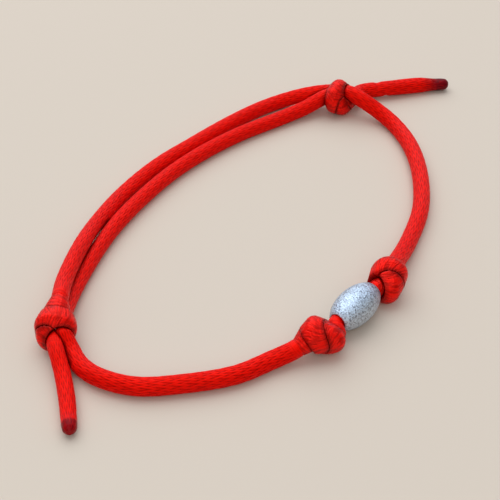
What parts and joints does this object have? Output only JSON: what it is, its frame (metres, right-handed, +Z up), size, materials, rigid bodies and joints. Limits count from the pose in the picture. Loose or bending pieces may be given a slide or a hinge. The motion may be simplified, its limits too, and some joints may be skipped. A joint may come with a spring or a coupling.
{
  "type": "kabbalah bracelet",
  "caption": "Adjustable red satin cord bracelet with an oval silver bead held between stopper knots and closed by sliding knots.",
  "frame": {"origin": "middle of the bracelet's outline on the surface it lies on", "axes": "+X along the long way of the loop from the left sliding knot to the right one, +Z up from the surface"},
  "size_m": [0.0954, 0.0474, 0.0058],
  "materials": {
    "bead_metal": "fine sandblasted sparkle",
    "satin_cord": "satin sheath with fine knitted ribs",
    "melted_cord": "melted and glossy"
  },
  "bodies": {
    "root": {"bead": "bead_metal", "bead_cord": "satin_cord", "stopper_knot_left": "satin_cord", "stopper_knot_right": "satin_cord", "front_run": "satin_cord", "side_run": "satin_cord", "sliding_knot_left": "satin_cord", "sliding_knot_right": "satin_cord", "tail_left": "satin_cord", "tail_right": "satin_cord", "tip_left": "melted_cord", "tip_right": "melted_cord"}
  },
  "joints": []
}
